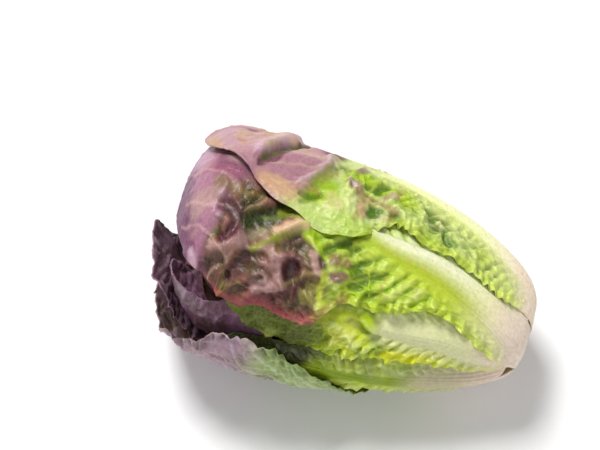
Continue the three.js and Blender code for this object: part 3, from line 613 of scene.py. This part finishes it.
top_main = {
    "attach": 1, "inset": 3, "length": 270, "round": 0.16, "rib": 1, "scallop": 0.012, "seed": 11,
    "turn": [(0, 32), (0.067, 17), (0.13, 5), (0.2, -2), (0.3, -8), (0.44, -10), (0.52, -17), (0.64, -26),
        (0.8, -30), (1, -28)],
    "minus": [(0, 13), (0.06, 18.5), (0.2, 24), (0.35, 40), (0.55, 66), (0.8, 72), (1, 56)],
    "plus": [(0, 14), (0.07, 21), (0.11, 25), (0.17, 26), (0.24, 24), (0.3, 27), (0.36, 36), (0.42, 42),
        (0.475, 46), (0.515, 59), (0.545, 75), (0.64, 87), (0.74, 92), (0.85, 97), (1, 80)],
    "lift": [(0, 0), (0.45, 0), (0.7, -2.2), (1, -2.2)], "frill": (0, 1),
    "folds": [(150, 40, 40, 18, 8, 2.5), (172, 50, 75, 22, 9, 3), (190, 36, 20, 26, 9, 3),
        (208, 58, 60, 22, 10, 3), (226, 34, 80, 22, 10, 2.5)],
    "crinkle": {"flute": 1.25, "flute_length": 8.5, "flute_reach": 18, "vein": 0.5, "blister": 1,
        "blister_size": 9, "blister_along": [(0, 1), (175, 0.9), (215, 0.15), (280, 0.1)], "crumple": 3,
        "crumple_size": 17,
        "crumple_along": [(0, 0), (45, 0.3), (90, 0.7), (120, 1), (200, 1), (222, 0.3), (270, 0.15)],
        "vein_along": [(0, 0.8), (120, 0.6), (150, 0.15), (270, 0.05)],
        "flank": [(0, 13), (60, 11), (85, 5), (112, -3)], "ruffle": ([(0, 0.3), (280, 0.1)], [(0, 0),
            (20, 0.8), (45, 2.2), (112, 2.6), (130, 1), (142, 0.3), (280, 0.1)])},
    "strokes": [((190, 25, 196, 34, 200, 40, 201, 46, 201, 53, 206, 58, 213, 61, 221, 58), 4.6, 8, 2),
        ((197, 42, 191, 37, 184, 28, 175, 19), -4.6, 4.5, 4.5), ((192, 33, 184, 24), 1.8, 1.6, 2.4),
        ((191, 57, 187, 54, 183, 49, 178, 42, 172, 33, 162, 23), 2.6, 2.2, 3),
        ((186, 46, 176, 36, 168, 28), 1.6, 3, 3), ((216, 57, 209, 54, 204, 49), -3.4, 4, 4),
        ((185, 48, 179, 49, 177, 52, 171, 52, 169, 58, 166, 64), 3.4, 2, 5),
        ((171, 52, 164, 47, 157, 44), 3, 1.8, 3), ((163, 52, 162, 59), -4.2, 4.5, 4.5),
        ((165, 66, 160, 59, 152, 48), 1.8, 1.8, 3), ((156, 40, 149, 45), 2.4, 3.4, 3.4),
        ((189, 78, 185, 72, 181, 68, 176, 68, 176, 71, 179, 74), 2.4, 1.8, 1.8),
        ((187, 92, 184, 88, 177, 78, 168, 71, 163, 66), 2.8, 2.4, 5),
        ((182, 90, 172, 80, 163, 72, 155, 61), -2, 3, 3), ((217, 18, 216, 24, 219, 31), 2, 1.6, 3.2),
        ((209, 19, 206, 26, 210, 31), 2.2, 1.6, 3.2), ((203, 24, 197, 24, 192, 22), 2.2, 1.5, 2.5),
        ((215, 36, 209, 39, 204, 45), -3.2, 4, 4), ((193, 64, 196, 72, 199, 79), -3, 4.5, 4.5),
        ((210, 70, 223, 71, 237, 68), -2.2, 4.5, 4.5), ((256, 50, 249, 57, 240, 62), 2.6, 4, 8),
        ((142, 33, 137, 25), 2.2, 3, 3), ((139, 42, 132, 33), 2.6, 2.5, 2.5),
        ((150, 34, 141, 18, 134, 8), -2.6, 2, 3), ((143, 44, 142, 54, 142, 64), 1.6, 2, 4)],
    "veins": [(267, -6, 246, 3, 230, 10, 214, 16), (252, 24, 232, 35, 216, 37),
        (258, 35, 237, 46, 222, 57), (196, 65, 208, 72, 225, 76, 234, 78, 226, 86),
        (165, 66, 160, 59, 152, 48, 140, 36, 130, 17),
        (191, 57, 187, 54, 183, 49, 178, 42, 172, 33, 162, 23), (212, 92, 198, 86, 190, 80),
        (228, 60, 216, 62, 206, 66)],
    # Patches: the dark ones along sunken strokes, (34, 44, 8), (98, 42, 62), (92, 56, 62), (80, 42, 54),
    # (82, 52, 56), (112, 74, 68) and (92, 46, 54), are painted shade in those hollows; the pale (230, 188,
    # 158), (206, 176, 186) and (196, 160, 150) on raised folds are painted highlights.
    "patches": [((197, 43, 190, 37, 184, 28, 177, 19), 6.5, (34, 44, 8), 0.92),
        ((181, 27, 173, 22), 3, (150, 160, 60), 0.6), ((187, 34, 180, 30), 2, (112, 124, 60), 0.7),
        ((190, 58, 183, 50, 178, 42, 171, 33, 162, 23), 2.6, (136, 150, 38), 0.75),
        ((180, 39, 173, 32, 166, 26), 3, (230, 188, 158), 0.85),
        ((192, 50, 188, 44), 3.4, (158, 150, 120), 0.7),
        ((216, 57, 209, 54, 204, 49), 4.5, (98, 42, 62), 0.75),
        ((216, 36, 209, 39, 204, 46), 5, (92, 56, 62), 0.7), ((219, 20, 208, 23), 6, (134, 112, 76), 0.7),
        ((163, 51, 162, 60), 6, (80, 42, 54), 0.85), ((193, 64, 197, 73, 200, 80), 5, (82, 52, 56), 0.75),
        ((211, 70, 224, 72), 4, (112, 74, 68), 0.6), ((200, 60, 208, 66), 3.5, (148, 106, 88), 0.5),
        ((262, 5, 263, 22, 262, 36, 258, 54, 252, 70), 20, (104, 54, 92), 0.92),
        ((252, -12, 246, -26), 9, (150, 104, 138), 0.6),
        ((262, 56, 255, 67, 246, 78), 5, (126, 76, 108), 0.7),
        ((248, 57, 244, 62), 4, (206, 176, 186), 0.6), ((226, 8, 214, 12), 6, (150, 84, 106), 0.6),
        ((250, -20, 236, -2), 9, (188, 148, 172), 0.6), ((182, 80, 172, 74), 4.5, (184, 150, 150), 0.5),
        ((181, 90, 170, 80, 160, 70, 153, 58), 3, (92, 46, 54), 0.75),
        ((150, 62, 146, 52), 5, (140, 132, 70), 0.8),
        ((144, 42, 142, 56, 141, 68), 2.6, (184, 198, 70), 0.8),
        ((142, 33, 136, 25), 3.6, (130, 84, 78), 0.8), ((139, 41, 133, 34), 3.6, (118, 68, 84), 0.85),
        ((154, 40, 149, 45), 3, (196, 160, 150), 0.7), ((166, 100, 146, 80), 3.5, (214, 158, 138), 0.6)],
    "open": open_main,
    "paint": paint_red, "teeth": 0.2, "inside": 0.75,
    "bronze_from": [(-60, 176), (0, 172), (20, 162), (32, 160), (37, 150), (44, 143), (70, 138), (95, 134)],
    "mauve_from": [(-60, 200), (10, 204), (30, 212), (50, 222), (60, 232), (74, 236), (95, 238)],
    "bronze": 0.95, "pale": (206, 222, 140), "paleness": 0.2, "rose": 4.5, "by_rib": (190, 206, 76),
    "mauve": ((166, 118, 138), (122, 76, 100), (182, 148, 142)), "vein_tone": (212, 172, 170),
    "rib_tones": ((238, 220, 202), (234, 234, 172), (242, 242, 210), (176, 192, 48))}
grow_leaf("leaf_top_main", top_main, 270, 150, red_skin)

# ---------------------------------------------------------------------------------------------
# The top back leaf. Its thick cream rib makes the head's far outline; its near margin frills
# beside the rib of the main leaf and then spreads as a flap over it.

top_back = {
    "attach": 0.5, "inset": -2.4, "length": 246, "round": 0.12, "rib": 1, "scallop": 0.015, "seed": 47,
    "turn": [(0, -62), (0.15, -58), (0.5, -62), (1, -58)],
    "minus": [(0, 12), (0.06, 24), (0.2, 24), (0.35, 34), (0.55, 62), (0.8, 66), (1, 48)],
    "plus": [(0, 17), (0.085, 28), (0.16, 38), (0.24, 42), (0.35, 46), (0.42, 50), (0.48, 50), (0.55, 65),
        (0.6, 74), (0.66, 76), (0.76, 72), (0.86, 65), (0.95, 54), (1, 42)],
    "lift": [(0, 0), (0.45, 0), (0.7, -3), (1, -3.4)], "frill": (1, 1.2),
    "folds": [(150, 40, 60, 16, 8, 2.5), (178, 26, 20, 20, 9, 2.5), (205, 30, 70, 18, 9, 2.5)],
    "crinkle": {"flute": 0.95, "flute_length": 7.2, "flute_reach": 14, "vein": 0.5, "blister": 1.4,
        "blister_size": 6.5, "blister_along": [(0, 1), (125, 0.9), (160, 0.3), (280, 0.1)], "crumple": 2.4,
        "crumple_size": 13,
        "crumple_along": [(0, 0), (30, 0.4), (60, 0.8), (85, 1), (150, 0.9), (172, 0.35), (260, 0.2)],
        "vein_along": [(0, 0.7), (120, 0.4), (170, 0.2), (270, 0.1)], "ruffle": ([(0, 0.3), (280, 0.2)],
            [(0, 0), (22, 0.1), (45, 1.4), (75, 2.4), (122, 2), (140, 0.6), (160, 0.1), (280, 0.1)]),
        "ruffle_length": 8},
    "strokes": [((204, 40, 197, 29, 191, 13, 183, -4, 172, -14), -4.4, 1.8, 3.2),
        ((206, 34, 200, 24, 195, 6, 187, -14), 3, 5, 2.2),
        ((171, 46, 167, 36, 162, 25, 156, 16), -1.6, 3.5, 3.5), ((177, 56, 170, 55, 164, 52), -2.2, 2, 2),
        ((180, 48, 174, 40, 168, 28, 167, 8), 2.2, 2, 4.5), ((155, 60, 146, 52), 1.6, 5, 5),
        ((153, 40, 152, 32, 148, 27, 145, 33, 145, 40, 148, 46, 153, 44), 2.4, 1.6, 1.6),
        ((148, 18, 144, 6), 2.2, 2, 2), ((131, 47, 133, 52), -3, 3, 3),
        ((140, 30, 133, 27, 129, 18), -3, 2.5, 2.5), ((119, 44, 114, 49), -2.6, 2.5, 2.5),
        ((101, 20, 98, 26), -2.2, 2.5, 2.5), ((87, 32, 84, 36), -2.6, 2.5, 2.5),
        ((126, 36, 122, 28), 2, 2, 2), ((214, 4, 206, -8), -1.2, 4, 4)],
    "veins": [(201, 40, 188, 36, 176, 34, 166, 25), (193, 54, 183, 51, 174, 49),
        (232, 33, 219, 30, 208, 25), (162, 58, 150, 50, 140, 34, 134, 20), (224, 12, 212, 10, 200, 4)],
    # Patches: the dark greens along sunken strokes, (78, 84, 34), (98, 126, 36), (72, 108, 22), (78, 110,
    # 24), (70, 104, 22), (80, 116, 26) and (84, 120, 30), are painted shade in those hollows; the pale
    # (186, 166, 120) line on the slit's raised rim and the (232, 214, 220) dot in the purple ring are
    # painted highlights.
    "patches": [((225, 30, 228, 8), 7, (180, 142, 162), 0.7), ((213, 2, 205, -12), 4, (146, 98, 132), 0.6),
        ((219, 24, 217, 26), 3, (176, 110, 104), 0.6),
        ((204, 34, 200, 22, 195, 5, 187, -14), 1.6, (186, 166, 120), 0.6),
        ((203, 40, 197, 30, 191, 14, 183, -3, 173, -13), 1.8, (78, 84, 34), 0.9),
        ((188, 20, 178, 14), 6, (204, 162, 154), 0.6), ((171, 0, 164, 3), 3.6, (118, 78, 104), 0.7),
        ((196, 54, 184, 58), 7, (196, 158, 122), 0.75),
        ((170, 46, 167, 36, 162, 25, 155, 16), 4, (132, 146, 50), 0.8),
        ((176, 60, 168, 55), 2.4, (98, 126, 36), 0.7),
        ((168, 66, 156, 70, 140, 66), 7, (184, 206, 112), 0.8),
        ((160, 52, 155, 58), 4, (206, 190, 140), 0.5), ((149, 36, 147, 40), 5.5, (136, 84, 92), 0.75),
        ((149, 36, 148, 38), 1.8, (232, 214, 220), 0.8), ((147, 18, 144, 8), 3.2, (150, 100, 116), 0.75),
        ((131, 47, 133, 51), 3.5, (72, 108, 22), 0.85),
        ((140, 30, 133, 27, 129, 18), 3.4, (78, 110, 24), 0.8),
        ((128, 34, 122, 27), 3.2, (182, 138, 140), 0.7), ((141, 50, 138, 56), 3, (196, 150, 130), 0.5),
        ((126, 53, 122, 50), 3, (186, 150, 140), 0.5), ((119, 44, 114, 49), 3, (70, 104, 22), 0.8),
        ((101, 19, 98, 26), 3, (80, 116, 26), 0.7), ((87, 31, 78, 34), 3, (84, 120, 30), 0.7)],
    "paint": paint_red, "teeth": 0.3, "inside": 0.8,
    "bronze_from": [(-70, 150), (0, 158), (47, 170), (64, 182)], "mauve_from": [(-70, 160), (-2, 167),
        (28, 165), (41, 171), (50, 176), (64, 181), (80, 186)], "bronze": 0.5, "pale": (216, 222, 166),
    "paleness": 0.7, "rose": -9, "by_rib": (222, 234, 140),
    "mauve": ((186, 146, 150), (164, 120, 132), (190, 156, 126)), "vein_tone": (206, 182, 140),
    "rib_tones": ((244, 224, 200), (246, 242, 206), (246, 244, 206), (236, 240, 180))}
grow_leaf("leaf_top_back", top_back, 262, 140, red_skin)

# ---------------------------------------------------------------------------------------------
# The low leaves. Two outer leaves cradle the head underneath and stand open at the tips, and a
# darker one lies inside them. Seen from outside they are dull, with raised pale veins.


def paint_under(leaf, here):
    """The dull back of a leaf: grey-green, grey-purple towards the tip, with pale veins and painted
    shade darkening the pits between them."""
    a, height = here["a"], here["height"]
    middle = spread(leaf, here, 13, 0)
    green = mix((160, 178, 116), (124, 146, 78), ease(-0.4, 0.5, middle))
    grape = mix((176, 144, 162), (138, 108, 124), ease(-0.4, 0.5, spread(leaf, here, 16, 1)))
    into_grape = ease(*leaf["grape_from"], a + 22 * spread(leaf, here, 25, 2) + 8 * middle)
    # Painted shade darkens the pits, where the relief sinks below the blade.
    tone = layered(
        green, (grape, into_grape),
        (mix((66, 78, 40), (66, 42, 54), into_grape), ease(-0.2, -2.2, height) * 0.7),
        (mix((214, 224, 190), (208, 190, 198), into_grape), here["vein"] * 0.7),
        ((196, 170, 180), ease(3.0, 0.8, here["margin"]) * into_grape * 0.8))
    rib_tone = mix((252, 234, 222), (210, 214, 178), ease(20, 70, a))
    on_rib = np.maximum(ease(0.02, 0.35, here["rib"]) * ease(200, 110, a),
                        ease(80, 30, a + 10 * middle) * 0.9)
    return mix(tone, rib_tone, on_rib)


def paint_dark(leaf, here):
    """Wine purple, greener beside the rib, with painted highlights lightening the ridges silver and painted
    shade darkening the hollows nearly black.
    """
    a, height = here["a"], here["height"]
    middle = spread(leaf, here, 14, 0)
    # Painted shade (56, 30, 42) in the hollows and painted highlight (176, 150, 178) on the ridges.
    wine = layered(
        mix(*leaf["wine"], ease(-0.4, 0.5, middle)), ((56, 30, 42), ease(-0.3, -2.4, height) * 0.7),
        ((176, 150, 178), ease(0.6, 2.4, height) * 0.6))
    tone = mix((110, 132, 66), wine, ease(90, 140, a + 18 * spread(leaf, here, 22, 1)))
    tone = layered(
        tone, ((150, 110, 120), here["vein"] * 0.4),
        ((178, 116, 132), ease(2.4, 0.6, here["margin"]) * ease(120, 150, a) * 0.7))
    rib_tone = mix((226, 204, 188), (196, 202, 152), ease(20, 70, a))
    on_rib = np.maximum(ease(0.02, 0.35, here["rib"]) * ease(190, 100, a),
                        ease(80, 30, a + 10 * middle) * 0.9)
    return mix(tone, rib_tone, on_rib)


dull_skin = leaf_material("leaf_back_skin", roughness=0.5, glow=0.3, vein_light=0.12, coat=0.1)
dark_skin = leaf_material("dark_leaf_skin", roughness=0.36, glow=0.12, vein_light=0.08, coat=0.3)

low_front = {
    "attach": 0.6, "inset": 0, "length": 252, "round": 0.22, "rib": 0.8, "scallop": 0.02, "seed": 83,
    "turn": [(0, 134), (0.1, 142), (0.25, 145), (0.6, 144), (1, 140)],
    "minus": [(0, 10.5), (0.06, 13.5), (0.2, 16.5), (0.35, 23.5), (0.43, 44), (0.48, 62), (0.575, 82),
        (0.68, 89), (0.83, 98), (1, 94)],
    "plus": [(0, 10.5), (0.06, 19), (0.2, 24), (0.35, 38), (0.55, 60), (0.8, 62), (1, 46)],
    "lift": [(0, 0), (0.75, 0), (1, 5)], "frill": (1.2, 0), "folds": [(172, -34, 0, 36, 22, 4.5)],
    "strokes": [((8, -12, 30, -15, 55, -19), -2.4, 7, 7)],
    "crinkle": {"flute": 0.6, "vein": 1.3, "vein_gap": 16, "blister": 1.1, "blister_size": 12,
        "crumple": 1.9, "crumple_size": 22,
        "ruffle": ([(0, 0), (30, 0.05), (70, 0.7), (120, 1.3), (280, 0.8)], [(0, 0), (280, 0.6)])},
    "paint": paint_under, "grape_from": (126, 164), "teeth": 0.4, "inside": 0.6}
low_back = {
    "attach": 2.2, "inset": 3.8, "length": 284, "rib": 0.8, "seed": 101,
    "turn": [(0, 212), (0.3, 206), (0.75, 184), (1, 159)],
    "minus": [(0, 10), (0.06, 21), (0.2, 26), (0.35, 40), (0.55, 60), (0.8, 62), (1, 54)],
    "plus": [(0, 12), (0.06, 22), (0.2, 26), (0.35, 38), (0.55, 58), (0.8, 40), (1, 12)],
    "lift": [(0, 0), (0.89, 0), (0.95, 5), (1, 11)],
    "crinkle": {"flute": 0.5, "vein": 0.6, "blister": 1, "crumple": 2.4, "crumple_size": 19,
        "ruffle": ([(0, 0.5), (280, 1.2)], [(0, 0.5), (280, 1.2)])},
    "wine": ((158, 126, 148), (112, 78, 98)),
    "paint": paint_dark, "teeth": 0.9, "inside": 1}
low_inner = {
    "attach": 12.5, "inset": 13.4, "length": 238, "round": 0.22, "rib": 0.6, "scallop": 0.02, "seed": 131,
    "turn": [(0, 168), (0.3, 150), (0.7, 124), (1, 118)],
    "minus": [(0, 12), (0.06, 20), (0.2, 24), (0.35, 30), (0.55, 38), (0.66, 46), (0.76, 68), (0.85, 76),
        (1, 68)],
    "plus": [(0, 12), (0.06, 20), (0.2, 26), (0.35, 40), (0.55, 60), (0.8, 62), (1, 48)],
    "lift": [(0, 0), (0.8, 0), (0.9, 2.5), (1, 7)],
    "crinkle": {"flute": 0.5, "vein": 0.6, "blister": 0.6, "crumple": 1.8, "crumple_size": 24,
        "ruffle": ([(0, 0.4), (280, 0.5)], [(0, 0.5), (280, 0.5)])},
    "wine": ((150, 108, 138), (104, 66, 86)),
    "paint": paint_dark, "teeth": 0.4, "inside": 1}
grow_leaf("leaf_low_front", low_front, 238, 140, dull_skin)
grow_leaf("leaf_low_back", low_back, 230, 120, dark_skin)
grow_leaf("leaf_low_inner", low_inner, 180, 90, dark_skin)

# ---------------------------------------------------------------------------------------------
# The pale leaves. Under the top leaves lie younger ones with broad white ribs and a yellow-green
# blade: two on the near side and one on the far side.

pale_skin = leaf_material("pale_leaf_skin", roughness=0.42, glow=0.25, vein_light=0.16, coat=0.15)


def paint_pale(leaf, here):
    """Rib white, pinkish by the stem; blade yellow-green, darker in the hollows as painted shade and
    lighter on ridges and flute crests as painted highlight, lime at the edge and dull towards the
    tip, where it turns the leaf's end colour: a red tip on some leaves, and on the two near pale
    leaves a dark olive that is partly painted shade of the hollow under the main leaf."""
    s, height = here["s"], here["height"]
    middle, small = spread(leaf, here, 12, 0), spread(leaf, here, 5, 1)
    light, deep, hollow = leaf["blade"]
    end = linear(leaf["end"]) * (1 + 0.35 * middle)[..., None]
    # Painted shade in the hollows with the blade's third colour; pale veins, and painted highlights on the
    # flute crests and ridges.
    tone = layered(
        mix(light, deep, ease(-0.5, 0.5, middle + 0.4 * small)), (hollow, ease(-0.2, -2.4, height) * 0.8),
        ((222, 238, 150), np.maximum(0.6 * here["vein"], 0.5 * ease(0.1, 1, here["flutes"]))),
        ((226, 238, 168), ease(0.8, 3.0, height) * 0.5),
        ((212, 224, 62), leaf["edge"] * ease(7, 2, here["margin"]) * ease(110, 85, s)),
        (end, ease(*leaf["end_from"], s + 16 * spread(leaf, here, 20, 2) + 6 * middle)))
    rib_tone = mix((234, 212, 196), leaf["rib_tone"], ease(8, 50, s))
    whiteness = ease(0.0, 0.1, here["rib"]) * ease(*leaf["rib_end"], s)
    near_rib = ease(leaf["rib_spread"], 0, here["beyond"]) * ease(*leaf["rib_end"], s)
    return mix(patched(leaf, here, tone), rib_tone, np.maximum(whiteness, 0.8 * near_rib))


def open_mid(s, y):
    """0 under the main leaf and 1 where this leaf shows."""
    cover = curve(s, [(10, 1), (31, -1), (52, -8), (72, -22), (105, -10), (130, -4), (135, 11), (152, 15),
                      (184, 16)])
    return ease(cover - 3, cover + 7, y)


def open_side(s, y):
    """0 under the leaf above and 1 where this leaf shows."""
    cover = curve(s, [(23, -14), (56, -17), (87, -22), (115, -17), (138, -14), (163, -10)])
    return ease(cover - 2, cover + 6, y)


mid_front = {
    "attach": 6.5, "inset": 8.8, "length": 192, "rib": 0.7, "seed": 151,
    "turn": [(0, 48), (0.15, 42), (0.3, 36), (0.6, 38), (1, 40)],
    "minus": [(0, 12), (0.06, 22), (0.2, 24), (0.35, 40), (0.55, 62), (0.8, 66), (1, 48)],
    "plus": [(0, 8), (0.06, 12), (0.2, 18), (0.32, 21), (0.42, 24), (0.6, 27), (0.8, 30), (1, 30)],
    "frill": (0, 0.8),
    "crinkle": {"flute": 1.1, "flute_length": 7, "vein": 0.5, "blister": 1.4, "crumple": 3.4,
        "crumple_size": 13, "crumple_along": [(0, 0), (80, 0.1), (93, 1.1)],
        "ruffle": ([(0, 0.3), (280, 0.3)], [(0, 0.3), (60, 1), (280, 1.4)])},
    "strokes": [((104, -12, 86, -13), 1.5, 3, 4), ((122, 4, 108, 14, 96, 20), 2.2, 3, 5),
        ((114, 0, 104, 6, 95, 8), -2.2, 2, 3), ((108, -2, 99, 2), 1.8, 1.8, 2.4)],
    "patches": [((84, 20, 70, 18, 60, 14, 48, 9), 4.2, (226, 228, 60), 0.9),
        ((112, 4, 118, 14), 6, (214, 214, 110), 0.5), ((104, 18, 98, 22), 3, (120, 150, 40), 0.6),
        ((106, -8, 112, -12), 4, (96, 128, 26), 0.7)],
    "open": open_mid,
    # The third blade colour is painted shade for the hollows; the dark olive end is partly painted shade of
    # the hollow under the main leaf.
    "paint": paint_pale, "blade": ((208, 224, 62), (178, 204, 44), (98, 130, 16)), "end": (92, 102, 24),
    "end_from": (114, 140), "edge": 0.6, "rib_end": (104, 92), "rib_tone": (224, 226, 174),
    "rib_spread": 12, "teeth": 0.3}
side_front = {
    "attach": 6.5, "inset": 7, "length": 185, "rib": 0.55, "tuck": (-4.5, 0), "seed": 173,
    "turn": [(0, 100), (0.1, 92), (0.3, 85), (1, 84)],
    "minus": [(0, 9), (0.06, 14), (0.2, 24), (0.35, 35), (0.55, 34), (0.8, 22), (1, 16)],
    "plus": [(0, 12), (0.06, 22), (0.2, 26), (0.35, 40), (0.55, 58), (0.8, 62), (1, 48)], "frill": (0, 0.8),
    "folds": [(80, 24, 0, 85, 20, 4.4)],
    "crinkle": {"flute": 0.8, "vein": 0.7, "blister": 1.6, "blister_size": 10, "crumple": 3.4,
        "crumple_size": 14, "crumple_along": [(0, 0), (60, 0.1), (80, 1)],
        "ruffle": ([(0, 0.4), (280, 0.4)], [(0, 0.3), (280, 1.2)])},
    "patches": [((96, 3, 91, 7), 3, (190, 212, 60), 0.8), ((107, -24, 100, -18), 3, (70, 92, 28), 0.7),
        ((94, -13, 88, -4), 5, (146, 164, 84), 0.6), ((82, -12, 74, -8), 4, (184, 200, 130), 0.6)],
    "open": open_side, "stripes": 0.4,
    # The third blade colour is painted shade for the hollows; the dark olive end is partly painted shade of
    # the hollow under the main leaf.
    "paint": paint_pale, "blade": ((190, 206, 76), (142, 166, 44), (66, 88, 16)), "end": (66, 70, 38),
    "end_from": (118, 140), "edge": 0.4, "rib_end": (80, 56), "rib_tone": (196, 188, 154), "rib_spread": 24,
    "teeth": 0.4}
side_back = {
    "attach": 8, "inset": 7.5, "length": 244, "rib": 0.6, "seed": 191,
    "turn": [(0, 255), (0.3, 252), (1, 250)],
    "minus": [(0, 12), (0.06, 22), (0.2, 26), (0.35, 40), (0.55, 62), (0.8, 66), (1, 50)],
    "plus": [(0, 12), (0.06, 22), (0.2, 26), (0.35, 40), (0.55, 62), (0.8, 66), (1, 50)],
    "crinkle": {"flute": 0.7, "vein": 0.7, "blister": 1.4, "crumple": 1.8,
        "ruffle": ([(0, 0.5), (280, 1)], [(0, 0.5), (280, 1)])},
    # The third blade colour is painted shade for the hollows.
    "paint": paint_pale, "blade": ((170, 204, 72), (136, 178, 52), (84, 118, 28)), "end": (128, 84, 96),
    "end_from": (140, 180), "edge": 0.4, "rib_end": (170, 100), "rib_tone": (238, 240, 208)}
grow_leaf("leaf_mid_front", mid_front, 232, 100, pale_skin)
grow_leaf("leaf_side_front", side_front, 200, 120, pale_skin)
grow_leaf("leaf_side_back", side_back, 180, 90, pale_skin)

# ---------------------------------------------------------------------------------------------
# The heart. Twelve young leaves packed inside, each a golden angle round from the last, smaller
# and higher on the stem than the one outside it.

HEART_LEAVES = 12
HEART_INSET, HEART_GAP = 20.5, 3.1  # of the first leaf, and how much further in each next one lies
LAST_INSET = 78  # where a leaf would have shrunk to nothing
FIRST_TURN = 20
GOLDEN_ANGLE = 137.5
heart_skin = leaf_material("heart_leaf_skin", roughness=0.45, glow=0.25, vein_light=0.12, coat=0.1)
for i in range(HEART_LEAVES):
    inset = HEART_INSET + HEART_GAP * i
    share = 1 - inset / LAST_INSET  # the leaf's size beside an outer leaf's
    turn = (FIRST_TURN + GOLDEN_ANGLE * i) % 360
    half = [(0, 12 * share ** 0.4), (0.06, 18 * share ** 0.6), (0.2, 28 * share), (0.35, 46 * share),
            (0.55, 74 * share), (0.8, 78 * share), (1, 56 * share)]
    heart = {
        "attach": 14 + 2.25 * i, "inset": inset, "length": 213 - 8.5 * i, "rib": 0.5 - 0.03 * i,
        "seed": 211 + 13 * i, "turn": [(0, turn), (1, turn)], "minus": half, "plus": half,
        "crinkle": {"flute": 0.4, "vein": 0.4, "blister": 0.7, "crumple": 0.5,
            "ruffle": ([(0, 0.5), (280, 0.5)], [(0, 0.5), (280, 0.5)])},
        # The third blade colour is painted shade for the hollows.
        "paint": paint_pale, "blade": ((206, 224, 110), (180, 208, 90), (120, 150, 50)),
        "end": (116, 74, 78), "end_from": (130, 175), "edge": 0.4, "rib_end": (170, 110),
        "rib_tone": (240, 244, 214)}
    grow_leaf(f"heart_leaf_{i + 1:02d}", heart, 60, 36, heart_skin)

# ---------------------------------------------------------------------------------------------
# The place it lies: a plain white table under soft light from the upper left, seen steeply from
# above over the near side.


def stage_floor():
    """A flat white sheet, far wider than the head."""
    reach = 3000.0
    corners = np.array([(-reach, -reach, 0), (reach, -reach, 0), (reach, reach, 0), (-reach, reach, 0)])
    floor = add_mesh("floor", corners, np.array([[0, 1, 2, 3]]))
    material, tree, shader = new_material("white_table")
    set_inputs(tree, shader, {"Base Color": (0.9, 0.9, 0.9, 1), "Roughness": 0.7})
    floor.data.materials.append(material)


AIM = np.array((0, 0, 0.06))  # the middle of the head


def soft_light(name, place, size, watts):
    """A square lamp at place, in metres, facing the middle of the head."""
    lamp = bpy.data.lights.new(name, "AREA")
    lamp.size = size
    lamp.energy = watts
    holder = bpy.data.objects.new(name, lamp)
    bpy.context.scene.collection.objects.link(holder)
    face(holder, np.array(place), AIM)


def face(holder, place, target):
    """Puts a lamp or camera at place, looking at target, upright."""
    holder.location = place
    holder.rotation_euler = Vector(target - place).to_track_quat("-Z", "Y").to_euler()


stage_floor()
soft_light("window", (-0.9, 0.8, 2.2), size=0.8, watts=58)
soft_light("fill", (1.0, -1.5, 1.4), size=1.5, watts=11)
world = bpy.data.worlds.new("studio")
world.use_nodes = True
world.node_tree.nodes["Background"].inputs["Color"].default_value = (1, 1, 1, 1)
world.node_tree.nodes["Background"].inputs["Strength"].default_value = 0.37
bpy.context.scene.world = world
bpy.context.scene.view_settings.view_transform = "Standard"

CAMERA_TURN = math.radians(18.2)
CAMERA_HEIGHT = math.radians(65.5)
CAMERA_DISTANCE = 1.02
CAMERA_ASIDE = (-0.0249, 0.0323)  # how far right and up in its picture the camera's aim moves
camera_data = bpy.data.cameras.new("camera")
camera_data.lens = 100
camera_data.sensor_width = 36
camera = bpy.data.objects.new("camera", camera_data)
bpy.context.scene.collection.objects.link(camera)
bpy.context.scene.camera = camera
toward = np.array((math.sin(CAMERA_TURN) * math.cos(CAMERA_HEIGHT),
                   -math.cos(CAMERA_TURN) * math.cos(CAMERA_HEIGHT), math.sin(CAMERA_HEIGHT)))
rightward = np.array((math.cos(CAMERA_TURN), math.sin(CAMERA_TURN), 0))
upward = np.cross(toward, rightward)
aim = AIM + CAMERA_ASIDE[0] * rightward + CAMERA_ASIDE[1] * upward
face(camera, aim + CAMERA_DISTANCE * toward, aim)
